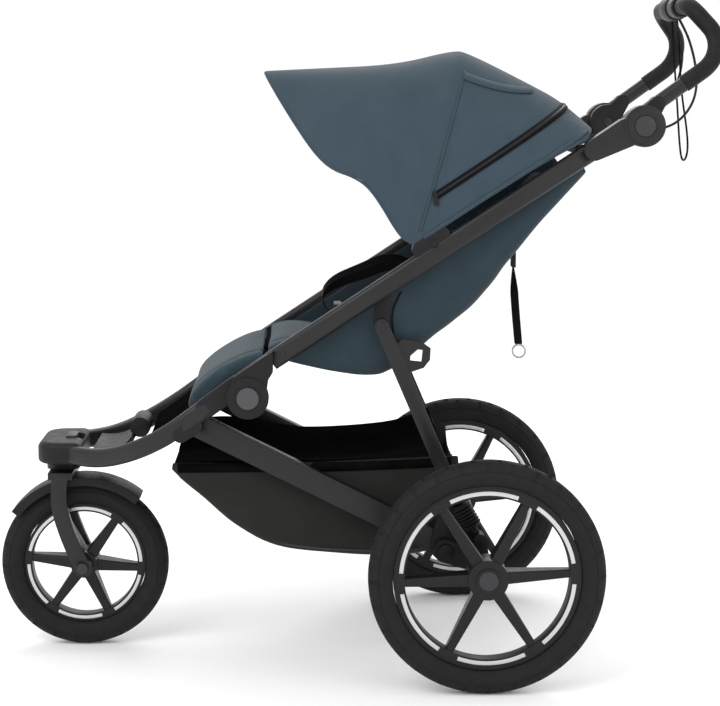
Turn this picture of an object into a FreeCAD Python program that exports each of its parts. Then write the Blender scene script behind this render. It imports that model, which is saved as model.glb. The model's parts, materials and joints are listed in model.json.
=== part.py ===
# A three-wheeled folding baby stroller for walking and jogging.
# X runs across it, -Y is the front, +Z is up. The origin is on the floor under the middle.
# Lengths are in millimetres. _L pieces are on the +X side and _R pieces mirror them.
import FreeCAD
import Part
import math
import os

os.makedirs("parts", exist_ok=True)
V = FreeCAD.Vector

# Driving dimensions
REAR_R = 200.0            # rear tyre radius
FRONT_R = 152.0           # front tyre radius
TRACK = 315.0             # rear wheel centre plane, from the middle
TYRE_W = 48.0             # tyre width
REAR_AXLE = (221.5, REAR_R)
FRONT_AXLE = (-487.0, FRONT_R)
SWIVEL_Y = -523.0         # vertical axis of the front fork
RAIL_X = 205.0            # middle plane of the upper rails
RAIL_W, RAIL_H = 24.0, 33.0
RAIL_START = (-140.0, 551.6)
RAIL_END = (415.0, 915.7)
LOWER_X = 175.0           # middle plane of the lower tubes
LOWER_W, LOWER_H = 24.0, 40.0
FRONT_X = 200.5           # widest middle plane of the front tubes
GAP = 0.3                 # running gap between round faces
HINGE = (-180.0, 491.0)         # front frame to upper frame
LEG_TOP = (48.0, 611.0)         # rear leg to upper frame
LEG_FOOT = (172.0, 320.0)       # rear leg to chassis
FOLD_PIVOT = (-275.0, 440.0)    # front frame to chassis
ARM_PIVOT = (157.6, 222.0)      # swing arm to chassis
CROSSBAR = (219.0, 229.0)
HANDLE_PIVOT = (486.7, 949.0)
CANOPY_PIVOT = (134.6, 752.6)
BACK_PIVOT = (84.0, 566.0)
BASKET_X = 158.0
SEAT_X = 188.0
GRIP_AXIS = (574.0, 1152.0)     # straight middle of the handlebar


# Helpers
def save(name, shape):
    shape.exportStep("parts/" + name + ".step")


def save_pair(name, shape):
    """Writes a +X piece and its mirror image."""
    save(name + "_L", shape)
    save(name + "_R", shape.mirror(V(0, 0, 0), V(1, 0, 0)))


def save_both(name, shape):
    """Writes a +X piece and its mirror image, fixed to one body, together."""
    other = shape.mirror(V(0, 0, 0), V(1, 0, 0))
    save(name, Part.makeCompound(list(shape.Solids) + list(other.Solids)))


def fuse(shapes):
    out = shapes[0].fuse(shapes[1:])
    return out.removeSplitter()


def rod(p, r, x0, x1):
    """A cylinder along X through p = (y, z)."""
    return Part.makeCylinder(r, x1 - x0, V(x0, p[0], p[1]), V(1, 0, 0))


def plate(points, x0, x1):
    """A flat plate with a polygon outline of (y, z) points."""
    loop = [V(x0, y, z) for y, z in points]
    wire = Part.makePolygon(loop + [loop[0]])
    return Part.Face(wire).extrude(V(x1 - x0, 0, 0))


def link(p, q, r, x0, x1, r2=None):
    """A plate with round ends about p and q, with radii r and r2."""
    r2 = r if r2 is None else r2
    d = math.dist(p, q)
    a = math.atan2(q[1] - p[1], q[0] - p[0])
    b = math.acos((r - r2) / d)
    corners = []
    for c, rad, turn in ((p, r, b), (q, r2, b), (q, r2, -b), (p, r, -b)):
        corners.append((c[0] + rad * math.cos(a + turn), c[1] + rad * math.sin(a + turn)))
    return fuse([plate(corners, x0, x1), rod(p, r, x0, x1), rod(q, r2, x0, x1)])


def ribbon(points, half, x0, x1):
    """A plate of even width that follows a smooth line of (y, z) points."""
    sides = ([], [])
    for i, (y, z) in enumerate(points):
        y0, z0 = points[max(i - 1, 0)]
        y1, z1 = points[min(i + 1, len(points) - 1)]
        d = math.hypot(y1 - y0, z1 - z0)
        ny, nz = -(z1 - z0) / d * half, (y1 - y0) / d * half
        sides[0].append(V(x0, y + ny, z + nz))
        sides[1].append(V(x0, y - ny, z - nz))
    edges = []
    for side in sides:
        curve = Part.BSplineCurve()
        curve.interpolate(side)
        edges.append(curve.toShape())
    edges.append(Part.makeLine(sides[0][0], sides[1][0]))
    edges.append(Part.makeLine(sides[0][-1], sides[1][-1]))
    wire = Part.Wire(Part.__sortEdges__(edges))
    return Part.Face(wire).extrude(V(x1 - x0, 0, 0))


def rounded_section(centre, side, up, w, h, r):
    """A rounded rectangle of w along side and h along up."""
    a, b, k = w / 2, h / 2, r * (1 - math.sqrt(0.5))
    place = lambda x, z: centre + side * x + up * z
    edges = []
    for sx, sz in ((1, 1), (-1, 1), (-1, -1), (1, -1)):
        first, last = (a, b - r), (a - r, b)
        if sx * sz < 0:
            first, last = last, first
        middle = (a - k, b - k)
        trio = [place(sx * x, sz * z) for x, z in (first, middle, last)]
        edges.append(Part.Arc(*trio))
    loop = []
    for i, arc in enumerate(edges):
        loop.append(arc.toShape())
        loop.append(Part.makeLine(arc.EndPoint, edges[(i + 1) % 4].StartPoint))
    return Part.Wire(loop)


def bent_bar(points, w, h, r):
    """A rounded rectangular bar through (x, y, z) points, kept upright."""
    points = [V(*p) for p in points]
    sections = []
    for i, p in enumerate(points):
        ahead = points[min(i + 1, len(points) - 1)] - points[max(i - 1, 0)]
        ahead.normalize()
        side = ahead.cross(V(0, 0, 1))
        side.normalize()
        sections.append(rounded_section(p, side, side.cross(ahead), w, h, r))
    return Part.makeLoft(sections, True, len(sections) == 2)


def filleted_path(points, radii):
    """A line through (x, y, z) points with its inner corners rounded."""
    points = [V(*p) for p in points]
    edges, last = [], points[0]
    for i in range(1, len(points) - 1):
        to_a, to_b = points[i - 1] - points[i], points[i + 1] - points[i]
        to_a.normalize()
        to_b.normalize()
        half = to_a.getAngle(to_b) / 2
        reach = radii[i - 1] / math.tan(half)
        a, b = points[i] + to_a * reach, points[i] + to_b * reach
        middle = to_a + to_b
        middle.normalize()
        top = points[i] + middle * (radii[i - 1] / math.sin(half) - radii[i - 1])
        edges.append(Part.makeLine(last, a))
        edges.append(Part.Arc(a, top, b).toShape())
        last = b
    edges.append(Part.makeLine(last, points[-1]))
    return Part.Wire(edges)


def round_sweep(path, r):
    """A round bar along a wire."""
    start = path.Edges[0]
    p = start.valueAt(start.FirstParameter)
    d = start.tangentAt(start.FirstParameter)
    ring = Part.Wire(Part.Circle(p, d, r).toShape())
    solid = path.makePipeShell([ring], True, False)
    return solid


def cord_path(points, name):
    """Straight runs joined by tangent arcs, each arc as large as its runs allow."""
    points = [V(*p) for p in points]
    edges, last, radii = [], points[0], []
    for i in range(1, len(points) - 1):
        to_a, to_b = points[i - 1] - points[i], points[i + 1] - points[i]
        reach = 0.45 * min(to_a.Length, to_b.Length)
        half = to_a.getAngle(to_b) / 2
        r = reach * math.tan(half)
        to_a.normalize()
        to_b.normalize()
        a, b = points[i] + to_a * reach, points[i] + to_b * reach
        middle = to_a + to_b
        middle.normalize()
        top = points[i] + middle * (r / math.sin(half) - r)
        edges.append(Part.LineSegment(last, a).toShape())
        edges.append(Part.Arc(a, top, b).toShape())
        radii.append(round(r))
        last = b
    edges.append(Part.LineSegment(last, points[-1]).toShape())
    print(name, "bend radii in mm:", radii)
    return Part.Wire(edges)


def cord(points, r, name):
    """A round cord along its route of (x, y, z) points."""
    path = cord_path(points, name)
    solid = round_sweep(path, r)
    print(name, "length", round(path.Length), "fill", round(solid.Volume / (math.pi * r * r * path.Length), 3))
    return solid


def smooth_face(grid):
    """A smooth face drawn towards a grid of control points."""
    surface = Part.BSplineSurface()
    m, n = len(grid), len(grid[0])
    ends = lambda k: [3] + [1] * (k - 3) + [3]
    steps = lambda k: [float(i) for i in range(k - 1)]
    surface.buildFromPolesMultsKnots(grid, ends(m), ends(n), steps(m), steps(n), False, False, 2, 2)
    return surface.toShape()


def skin(rows, thickness):
    """A sheet of even thickness drawn through rows of (x, y, z) points."""
    outer = [[V(*p) for p in row] for row in rows]
    m, n = len(outer), len(outer[0])
    inner = []
    for i in range(m):
        line = []
        for j in range(n):
            du = outer[min(i + 1, m - 1)][j] - outer[max(i - 1, 0)][j]
            dv = outer[i][min(j + 1, n - 1)] - outer[i][max(j - 1, 0)]
            normal = du.cross(dv)
            normal.normalize()
            line.append(outer[i][j] + normal * thickness)
        inner.append(line)
    top, bottom = smooth_face(outer), smooth_face(inner)
    faces = [top, bottom]
    corner = lambda e: (e.Vertexes[0].Point + e.Vertexes[-1].Point) * 0.5
    for edge in top.Edges:
        mate = min(bottom.Edges, key=lambda e: (corner(e) - corner(edge)).Length)
        faces.append(Part.makeRuledSurface(edge, mate))
    shell = Part.makeShell(faces)
    shell.sewShape()
    solid = Part.makeSolid(shell)
    if solid.Volume < 0:
        solid.reverse()
    return solid


def turned(profile, p, x):
    """A ring about an X axis at x and p = (y, z), from a closed wire of
    edges drawn as (offset along X, radius)."""
    wire = Part.Wire(profile)
    ring = Part.Face(wire).revolve(V(0, 0, 0), V(1, 0, 0), 360)
    solid = Part.makeSolid(ring) if ring.ShapeType == "Shell" else ring
    solid.translate(V(x, p[0], p[1]))
    return solid


def ring_sector(r0, r1, x0, x1, a0, a1, p):
    """Part of a flat ring about an X axis, from angle a0 to a1 measured
    from +Y towards +Z."""
    at = lambda r, a: V(x0, p[0] + r * math.cos(math.radians(a)), p[1] + r * math.sin(math.radians(a)))
    m = (a0 + a1) / 2
    edges = [
        Part.Arc(at(r0, a0), at(r0, m), at(r0, a1)).toShape(),
        Part.makeLine(at(r0, a1), at(r1, a1)),
        Part.Arc(at(r1, a1), at(r1, m), at(r1, a0)).toShape(),
        Part.makeLine(at(r1, a0), at(r0, a0)),
    ]
    return Part.Face(Part.Wire(edges)).extrude(V(x1 - x0, 0, 0))


def towards(p, q, s):
    """The point a fraction s of the way from p to q."""
    return (p[0] + (q[0] - p[0]) * s, p[1] + (q[1] - p[1]) * s)


# Wheels
def tyre(radius, bed, p, x):
    """A rounded tyre on a flat rim bed."""
    w = TYRE_W / 2
    h = radius - bed
    q = lambda a, r: V(a, r, 0)
    profile = [
        Part.makeLine(q(-13, bed), q(13, bed)),
        Part.Arc(q(13, bed), q(w, bed + h * 0.52), q(9, radius - 1.6)).toShape(),
        Part.Arc(q(9, radius - 1.6), q(0, radius), q(-9, radius - 1.6)).toShape(),
        Part.Arc(q(-9, radius - 1.6), q(-w, bed + h * 0.52), q(-13, bed)).toShape(),
    ]
    return turned(profile, p, x)


def spoked_rim(bed, flange, hub_r, hub_half, bore, p, x, start):
    """A rim ring with six tapered spokes and a hub with a through bore."""
    ring = rod(p, bed - 0.05, x - 13, x + 13).cut(rod(p, flange - 3, x - 14, x + 14))
    pieces = [ring, rod(p, hub_r, x - hub_half, x + hub_half)]
    for i in range(6):
        a = math.radians(start + 60 * i)
        d = V(0, math.cos(a), math.sin(a))
        t = V(0, -math.sin(a), math.cos(a))
        ends = []
        for r, w, h in ((hub_r * 0.7, 22.0, hub_half * 1.5), (flange + 3, 14.0, 20.0)):
            c = V(x, p[0], p[1]) + d * r
            ends.append(rounded_section(c, t, V(1, 0, 0), w, h, 4.0))
        pieces.append(Part.makeLoft(ends, True, True))
    return fuse(pieces).cut(rod(p, bore, x - hub_half - 5, x + hub_half + 5))


def reflectors(r0, r1, p, x, start):
    """Six bright arcs on each face of the rim, between the spokes."""
    arcs = []
    for i in range(6):
        for x0, x1 in ((13.0, 13.8), (-13.8, -13.0)):
            a = start + 60 * i
            arcs.append(ring_sector(r0, r1, x + x0, x + x1, a + 7, a + 53, p))
    return Part.makeCompound(arcs)


# Rear wheels, each with a release button in the hub
AXLE_R = 8.0
rim = spoked_rim(158.0, 142.0, 34.0, 25.0, 0.5, REAR_AXLE, TRACK, 3.0)
cap = rod(REAR_AXLE, 20.6, TRACK + 25, TRACK + 30)
rim = rim.fuse(cap).cut(rod(REAR_AXLE, AXLE_R + GAP, TRACK - 30, TRACK + 20))
rim = rim.cut(rod(REAR_AXLE, 16.5 + GAP, TRACK + 22, TRACK + 31))
rim = rim.fuse(rod(REAR_AXLE, 4.0, TRACK + 20, TRACK + 22))
save_pair("rear_tyre", tyre(REAR_R, 158.0, REAR_AXLE, TRACK))
save_pair("rear_rim", rim)
save_pair("rear_reflectors", reflectors(142.0, 149.0, REAR_AXLE, TRACK, 3.0))
save_pair("hub_button", rod(REAR_AXLE, 16.5, TRACK + 26, TRACK + 32))

# Front wheel
save("front_tyre", tyre(FRONT_R, 110.0, FRONT_AXLE, 0))
save("front_rim", spoked_rim(110.0, 99.0, 24.0, 29.0, 6.0 + GAP, FRONT_AXLE, 0, -6.0))
save("front_reflectors", reflectors(99.0, 105.0, FRONT_AXLE, 0, -6.0))

# Fork, its axle and the mudguard
FORK_IN, FORK_OUT = 36.0, 52.0
leg_line = [(-524, 322), (-527, 290), (-526, 262), (-519, 232), (-505, 192), (-489, 156)]
fork = [
    ribbon(leg_line, 14.0, FORK_IN, FORK_OUT),
    ribbon(leg_line, 14.0, -FORK_OUT, -FORK_IN),
    rod(FRONT_AXLE, 17.0, FORK_IN, FORK_OUT),
    rod(FRONT_AXLE, 17.0, -FORK_OUT, -FORK_IN),
    Part.makeBox(2 * FORK_OUT, 44.0, 13.0, V(-FORK_OUT, SWIVEL_Y - 23, 314.0)),
    Part.makeCylinder(12.0, 49.0, V(0, SWIVEL_Y, 326.0)),
]
fork_solid = fuse(fork).cut(rod(FRONT_AXLE, 6.0, -60, 60))
save("fork", fork_solid)
axle = fuse([
    rod(FRONT_AXLE, 5.9, -FORK_OUT, FORK_OUT),
    rod(FRONT_AXLE, 10.0, FORK_OUT, FORK_OUT + 7),
    rod(FRONT_AXLE, 10.0, -FORK_OUT - 7, -FORK_OUT),
])
save("front_axle", axle)
guard = ring_sector(160, 163, -32, 32, 50, 142, FRONT_AXLE)
guard_sides = [ring_sector(147, 160.5, s, s + 2.5, 50, 142, FRONT_AXLE) for s in (-32.0, 29.5)]
stay = Part.makeBox(40, 30, 8, V(-20, SWIVEL_Y - 12, 306.5))
inside = rod(FRONT_AXLE, 160.5, -29.5, 29.5)
save("mudguard", fuse([guard] + guard_sides + [stay.cut(inside)]))

# Front frame: nose, two bent tubes, fold hinges and foot support
NOSE_Z0, NOSE_Z1 = 348.0, 387.0
nose = Part.makeBox(168, 80, NOSE_Z1 - NOSE_Z0, V(-84, -562, NOSE_Z0))
front_corners = [e for e in nose.Edges if abs(e.tangentAt(0).z) > 0.9 and e.BoundBox.YMax < -550]
nose = nose.makeFillet(38.0, front_corners)
back_corners = [e for e in nose.Edges if abs(e.tangentAt(0).z) > 0.9 and e.BoundBox.YMin > -490]
nose = nose.makeFillet(12.0, back_corners)
for level, r in ((NOSE_Z1, 12.0), (NOSE_Z0, 8.0)):
    ring = [e for e in nose.Edges if e.BoundBox.ZLength < 0.1 and abs(e.BoundBox.ZMin - level) < 0.5]
    nose = nose.makeFillet(r, ring)
collar = Part.makeCylinder(30.0, 24.0, V(0, SWIVEL_Y, 328.0))
stem_bore = Part.makeCylinder(12.0 + GAP, 56.0, V(0, SWIVEL_Y, 320.0))
lever_slot = Part.makeBox(50, 31, 20, V(-25, -516, 378.0))
nose = fuse([nose, collar]).cut(stem_bore).cut(lever_slot)
save("nose_housing", nose)
save("swivel_lock", Part.makeBox(48, 18, 11, V(-24, -515, 379.5)))
front_line = [
    (72, -500, 365), (92, -478, 365), (122, -437, 369), (152, -396, 382),
    (178, -358, 400), (194, -322, 421), (FRONT_X, -286, 446),
    (FRONT_X, -250, 472.5), (FRONT_X, -216, 497),
]
save_both("front_tubes", bent_bar(front_line, 24.0, 33.0, 9.0))
FRONT_TOP = (-198.0, 510.0)
front_joint = fuse([
    rod(HINGE, 34.0, FRONT_X - 12, FRONT_X + 12),
    link(FRONT_TOP, (-252.0, 471.0), 17.5, FRONT_X - 12, FRONT_X + 12),
])
front_joint = front_joint.cut(rod(HINGE, 8.0 + GAP, 187, 250))
mirrored = front_joint.mirror(V(0, 0, 0), V(1, 0, 0))
crossbar = rod(HINGE, 10.0, -FRONT_X + 12, FRONT_X - 12)
save("front_hinges", fuse([front_joint, crossbar, mirrored]))
bracket = fuse([
    link((-296, 424), FOLD_PIVOT, 13.0, FRONT_X - 11.5, FRONT_X + 11.5, 16.0),
    rod(FOLD_PIVOT, 6.0, LOWER_X - 13, FRONT_X),
])
save_both("fold_brackets", bracket)
rest_line = [(-462, 372), (-436, 371), (-412, 377), (-390, 396)]
foot_plate = ribbon(rest_line, 4.0, -84, 84)
save("footrest", fuse([foot_plate, rod((-380, 408), 18.0, -40, 40)]))
well_rows = []
for y, z in ((-362, 398), (-340, 412), (-314, 431), (-288, 451)):
    row = []
    for x, lift in ((-148, 3), (-125, -1), (-75, -5), (0, -6), (75, -5), (125, -1), (148, 3)):
        row.append((x, y, z + lift))
    well_rows.append(row)
save("footwell", skin(well_rows, 2.5))
calf_line = [(-268, 470), (-264, 490), (-250, 507), (-234, 521), (-214, 538), (-184, 560), (-163, 571)]
save("calf_rest", ribbon(calf_line, 14.0, -168, 168))

# Chassis: lower tubes, rear knuckles, crossbar, spring units and basket
lower = link(FOLD_PIVOT, ARM_PIVOT, LOWER_H / 2, LOWER_X - 12, LOWER_X + 12)
save_both("lower_tubes", lower.cut(rod(FOLD_PIVOT, 6.0 + GAP, 150, 200)))
K0, K1 = LOWER_X + 12.2, LOWER_X + 20.7
knuckle = fuse([
    link(ARM_PIVOT, LEG_FOOT, 24.0, K0, K1, 16.0),
    link(ARM_PIVOT, CROSSBAR, 20.0, K0, K1, 16.0),
    link(CROSSBAR, LEG_FOOT, 16.0, K0, K1),
    plate([ARM_PIVOT, CROSSBAR, LEG_FOOT], K0, K1),
    rod(LEG_FOOT, 6.0, K1, 240),
    rod(ARM_PIVOT, 7.0, K1, 234),
    rod(LEG_FOOT, 12.0, 238, 243),
    rod(ARM_PIVOT, 13.0, 229, 234),
])
save_both("rear_knuckles", knuckle)
save("rear_crossbar", rod(CROSSBAR, 12.0, -K0, K0))
SHOCK_FOOT = (216.0, 246.0)
top = LEG_FOOT
axis = V(0, SHOCK_FOOT[0] - top[0], SHOCK_FOOT[1] - top[1])
axis.normalize()
profile = []
rings = 7
for i in range(rings):
    s = 20.0 + i * 6.0
    profile += [(s, 13.5), (s + 2.0, 17.5), (s + 4.0, 17.5), (s + 6.0, 13.5)]
outline = [(17.5, 0.0), (17.5, 13.5)] + profile
outline += [(s + 8.6, 13.5), (s + 8.6, 6.0), (77.0, 6.0), (77.0, 0.0)]
wire = Part.makePolygon([V(0, r, a) for a, r in outline + [outline[0]]])
bellows = Part.Face(wire).revolve(V(0, 0, 0), V(0, 0, 1), 360)
bellows.Placement = FreeCAD.Placement(V(225, top[0], top[1]), FreeCAD.Rotation(V(0, 0, 1), axis))
eye = rod(top, 15.0, 215, 235).cut(rod(top, 6.02, 210, 240))
save_both("spring_units", fuse([bellows, eye]))
basket_line = [
    (-316, 352), (-302, 334), (-266, 303), (-214, 251), (-144, 208), (-75, 194),
    (30, 187), (118, 189), (158, 205), (174, 245), (182, 290), (186, 340),
]
basket_rows = []
for i, (y, z) in enumerate(basket_line):
    rim_z = 366.0 + max(0.0, i - 5) * 1.8
    rim_y = -314 + 498 * i / 11
    row = []
    for x, s in ((1, 0), (1, 0.3), (0.995, 0.6), (0.96, 0.86), (0.86, 0.98), (0.5, 1), (0, 1)):
        row.append((x * BASKET_X, rim_y + (y - rim_y) * min(1, s * 1.25), rim_z + (z - rim_z) * s))
    basket_rows.append(row + [(-x, a, b) for x, a, b in row[-2::-1]])
save("basket", skin(basket_rows, -2.5))
cover_rows = []
for y, low, peak in ((-304, 369, 392), (-262, 369, 402), (-212, 369, 402), (-164, 369, 393), (-126, 369, 378),
                     (-80, 369, 373), (-10, 371, 376), (50, 375, 381), (88, 377, 388), (118, 379, 402), (148, 381, 418)):
    row = []
    for x, s in ((1, 0), (0.995, 0.5), (0.97, 0.9), (0.6, 1), (0, 0.9)):
        row.append((x * BASKET_X, y, low + (peak - low) * s))
    cover_rows.append(row + [(-x, a, b) for x, a, b in row[-2::-1]])
save("basket_cover", skin(cover_rows, -1.8))

# Swing arms that carry the rear wheels on springs
A0, A1 = 204.0, 226.0
arm = fuse([
    link(ARM_PIVOT, REAR_AXLE, 20.0, A0, A1, 18.0),
    link(REAR_AXLE, SHOCK_FOOT, 15.0, A0, A1, 9.0),
    rod(SHOCK_FOOT, 9.0, A0, 240),
    rod(REAR_AXLE, AXLE_R, A1, TRACK + 19),
    rod(REAR_AXLE, 20.0, A1, TRACK - 30),
])
arm = arm.cut(rod(ARM_PIVOT, 7.0 + GAP, 190, 240))
save_pair("swing_arm", arm)

# Rear legs between the chassis and the upper frame
LEG0, LEG1 = RAIL_X - 8, RAIL_X + 8
leg = link(LEG_TOP, LEG_FOOT, 12.5, LEG0, LEG1, 12.5)
leg = leg.fuse(rod(LEG_TOP, 8.5, LEG1, LEG1 + 3.0)).cut(rod(LEG_FOOT, 6.0 + GAP, 150, 250))
catch = plate([(72, 578), (84, 588), (116, 583), (132, 572), (131, 552), (120, 538), (96, 530), (86, 548)], 199, 203)
catch = catch.cut(plate([(98, 571), (118, 569), (116, 549), (97, 551)], 198, 204))
save_pair("rear_leg", fuse([leg, catch]))

# Upper frame: rails, hinge covers, leg brackets and handle housings
rail_points = [(RAIL_X,) + RAIL_START, (RAIL_X,) + RAIL_END]
save_both("upper_rails", bent_bar(rail_points, RAIL_W, RAIL_H, 9.0))
outline = [(-209, 513), (-204, 526.5), (-182, 541.5), (-137.4, 571), (-137.4, 534.6), (-145, 522), (-147, 508), HINGE]
arm_part = plate(outline, RAIL_X - 15, 214.5)
arm_part = arm_part.cut(rod(HINGE, 37.0, 180, 214.0))
arm_part = arm_part.cut(link(FRONT_TOP, (-252.0, 471.0), 19.5, 180, 214.0))
cover = fuse([
    plate(outline, 214.0, 228.0),
    rod(HINGE, 35.7, 214.0, 232.0),
    rod(HINGE, 20.0, 232.0, 236.0),
    rod(HINGE, 8.0, FRONT_X - 11, 214.0),
    arm_part,
])
save_both("rail_hinges", cover)
bracket = fuse([
    link((54, 676), LEG_TOP, 13.0, RAIL_X - 16.0, RAIL_X - 12.05, 12.5),
    rod(LEG_TOP, 12.0, RAIL_X - 16.0, RAIL_X - 8.3),
])
save_both("leg_brackets", bracket)
handle_housing = fuse([
    link((404.0, 909.0), (458.0, 938.0), 17.8, 200.3, 229.0, 24.0),
    rod(HANDLE_PIVOT, 35.0, 200.3, 232.0),
    rod(HANDLE_PIVOT, 30.0, 232.0, 235.0),
])
handle_housing = handle_housing.cut(rod(HANDLE_PIVOT, 17.5 + GAP, 222, 240))
handle_housing = handle_housing.fuse(rod(HANDLE_PIVOT, 9.0, 172.0, 201.0))
save_both("handle_housings", handle_housing)
save_pair("handle_button", rod(HANDLE_PIVOT, 17.5, 227.0, 237.5))
mount = link((112.0, 741.5), (150.0, 767.0), 13.0, RAIL_X - 11, RAIL_X + 11)
save_both("canopy_mounts", fuse([mount, rod(CANOPY_PIVOT, 6.0, 172, 222)]))

# Seat sling, cushions and harness
slope = math.atan2(RAIL_END[1] - RAIL_START[1], RAIL_END[0] - RAIL_START[0])
sling_line = [
    (-112, 545), (-60, 531), (-15, 522), (28, 517), (64, 523), (128, 576),
    (173, 611), (218, 651), (257, 705), (328, 790), (399, 869),
]
sling_rows = []
for i, (y, z) in enumerate(sling_line):
    reach = (y - RAIL_START[0]) * math.cos(slope) + (z - RAIL_START[1]) * math.sin(slope)
    reach = max(reach, 38.0 + 14 * i)
    ty = RAIL_START[0] + reach * math.cos(slope)
    tz = RAIL_START[1] + reach * math.sin(slope)
    row = []
    for x, s in ((1, 0), (1, 0.3), (0.995, 0.6), (0.96, 0.88), (0.86, 0.99), (0.5, 1), (0, 1)):
        row.append((x * SEAT_X, ty + (y - ty) * s, tz + (z - tz) * s))
    sling_rows.append(row + [(-x, a, b) for x, a, b in row[-2::-1]])
save("seat_sling", skin(sling_rows, -2.5))
seat_line = [(-150, 582), (-124, 583), (-96, 577), (-60, 566), (-10, 551), (38, 541), (62, 545)]
save("seat_cushion", ribbon(seat_line, 10.0, -166, 166))
back_line = [(86, 570), (112, 593), (158, 628), (202, 668), (240, 719), (305, 797), (362, 862)]
save("back_cushion", ribbon(back_line, 9.0, -160, 160).cut(rod(BACK_PIVOT, 3.0, -200, 200)))
bars = [
    rod((404.0, 905.0), 9.0, -RAIL_X + 12, RAIL_X - 12),
    rod(BACK_PIVOT, 2.7, -178, 178),
]
save("seat_bars", Part.makeCompound(bars))
belt_line = [(124, 623), (160, 651), (190, 680), (224, 725), (262, 772)]
belts = [ribbon(belt_line, 3.5, s, s + 44) for s in (-92.0, 48.0)]
save("shoulder_belts", Part.makeCompound(belts))
buckle_centre = V(0, -22, 585)
crotch = ribbon([(-18, 556), (-22, 572), (-24, 586)], 2.0, -14, 14)
buckle = Part.makeBox(62, 14, 46, V(-31, -31, 582))
buckle = buckle.makeFillet(5.0, [e for e in buckle.Edges if abs(e.tangentAt(0).y) > 0.9])
buckle = buckle.cut(Part.makeCylinder(11.3, 6.0, V(0, -31.5, 605), V(0, 1, 0)))
save("buckle", fuse([buckle, crotch]))
save("buckle_button", Part.makeCylinder(11.0, 4.5, V(0, -33.0, 605), V(0, 1, 0)))
belt_side = [(-20, 574), (10, 566), (40, 565), (66, 573)]
save("lap_belts", Part.makeCompound([ribbon(belt_side, 1.6, s, s + 25) for s in (-150.0, 125.0)]))

# Recline strap that hangs behind the seat, to one side of the folded wheel
STRAP_X = 75.0
STRAP_PIN = (285.0, 702.0)
slider = Part.makeBox(26, 7, 30, V(STRAP_X - 13, 281.5, 699))
slot = Part.makeBox(17, 9, 12, V(STRAP_X - 8.5, 281, 696))
web = ribbon([(285, 727), (283, 740), (278, 748)], 1.2, STRAP_X - 8, STRAP_X + 8)
slider = fuse([slider.cut(slot), web, rod(STRAP_PIN, 1.5, STRAP_X - 13, STRAP_X + 13)])
save("strap_slider", slider)
strap = ribbon([(285, 701), (287, 660), (291, 610), (296, 561)], 0.9, STRAP_X - 8, STRAP_X + 8)
strap = fuse([strap, rod(STRAP_PIN, 3.2, STRAP_X - 8, STRAP_X + 8)])
save("recline_strap", strap.cut(rod(STRAP_PIN, 1.5 + GAP, STRAP_X - 20, STRAP_X + 20)))
ring = Part.makeTorus(12.0, 1.8, V(STRAP_X, 297, 547), V(0, 1, 0))
save("strap_ring", ring)

# Canopy: fabric shell and two bows on a common pivot
CROWN = [(-155, 1040), (-47, 1052), (80, 1066), (200, 1087), (304, 1030), (380, 989), (424, 946)]
FOOT = [(100, 749), (112, 752), (122, 757), (134, 766), (236, 833), (330, 895), (400, 930)]
edge = [(212, 100, 749), (212, 84, 764), (212, 45, 818), (208, -10, 860), (198, -45, 888),
        (176, -88, 944), (138, -124, 996), (74, -148, 1028), (0, -155, 1040)]
canopy_rows = [edge + [(-x, y, z) for x, y, z in edge[-2::-1]]]
for i in range(1, 7):
    row = []
    for j in range(9):
        a = math.radians(90 * j / 8)
        x = 213 * math.cos(a) ** 0.7
        s = math.sin(a) ** 0.95
        bulge = 18 * math.sin(2 * a) * (1 if i > 3 else 0.4)
        y = FOOT[i][0] + (CROWN[i][0] - FOOT[i][0]) * s ** 1.35
        z = FOOT[i][1] + (CROWN[i][1] - FOOT[i][1]) * s
        row.append((x, y, z + bulge * 0.3))
    canopy_rows.append(row + [(-x, y, z) for x, y, z in row[-2::-1]])
save("canopy_fabric", skin(canopy_rows, 2.0))


def bow(tip, half, r):
    """A flat hoop from the canopy pivots over the middle, inside the fabric."""
    d = math.dist(tip, CANOPY_PIVOT)
    ey, ez = (tip[0] - CANOPY_PIVOT[0]) / d, (tip[1] - CANOPY_PIVOT[1]) / d
    points = []
    for j in range(13):
        a = math.radians(180 * j / 12)
        c, s = math.cos(a), math.sin(a)
        x = half * math.copysign(abs(c) ** 0.62, c)
        t = d * s ** 0.9
        points.append((x, CANOPY_PIVOT[0] + ey * t, CANOPY_PIVOT[1] + ez * t))
    return cord(points, r, "canopy bow")


for name, tip, half, r in (
    ("canopy_front_bow", (-40.0, 1034.0), 187.0, 4.0),
    ("canopy_middle_bow", (186.0, 1058.0), 177.0, 4.0),
):
    hoop = bow(tip, half, r)
    eyes = []
    for side in (1, -1):
        x0, x1 = sorted((side * (half - 4.5), side * (half + 4.5)))
        eyes.append(rod(CANOPY_PIVOT, 12.0, x0, x1))
    solid = fuse([hoop] + eyes)
    save(name, solid.cut(rod(CANOPY_PIVOT, 6.0 + GAP, -240, 240)))

# Handlebar with grip, hubs, twist brake and cords
BAR_X = 185.0
bar_points = [
    (BAR_X, 497, 974), (BAR_X, 637, 1075), (142, 574, 1152),
    (-142, 574, 1152), (-BAR_X, 637, 1075), (-BAR_X, 497, 974),
]
save("handlebar_tube", round_sweep(filleted_path(bar_points, [54.0, 42.0, 42.0, 54.0]), 12.6))
grip_start = towards((497, 974), (637, 1075), 0.44)
grip_points = [(BAR_X,) + grip_start] + bar_points[1:-1] + [(-BAR_X,) + grip_start]
save("grip", round_sweep(filleted_path(grip_points, [54.0, 42.0, 42.0, 54.0]), 14.6))
hub = fuse([
    rod(HANDLE_PIVOT, 32.0, BAR_X - 13, BAR_X + 13),
    link(HANDLE_PIVOT, (514, 986), 20.0, BAR_X - 13, BAR_X + 13, 13.0),
])
save_both("handle_hubs", hub.cut(rod(HANDLE_PIVOT, 9.0 + GAP, 160, 210)))
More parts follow.
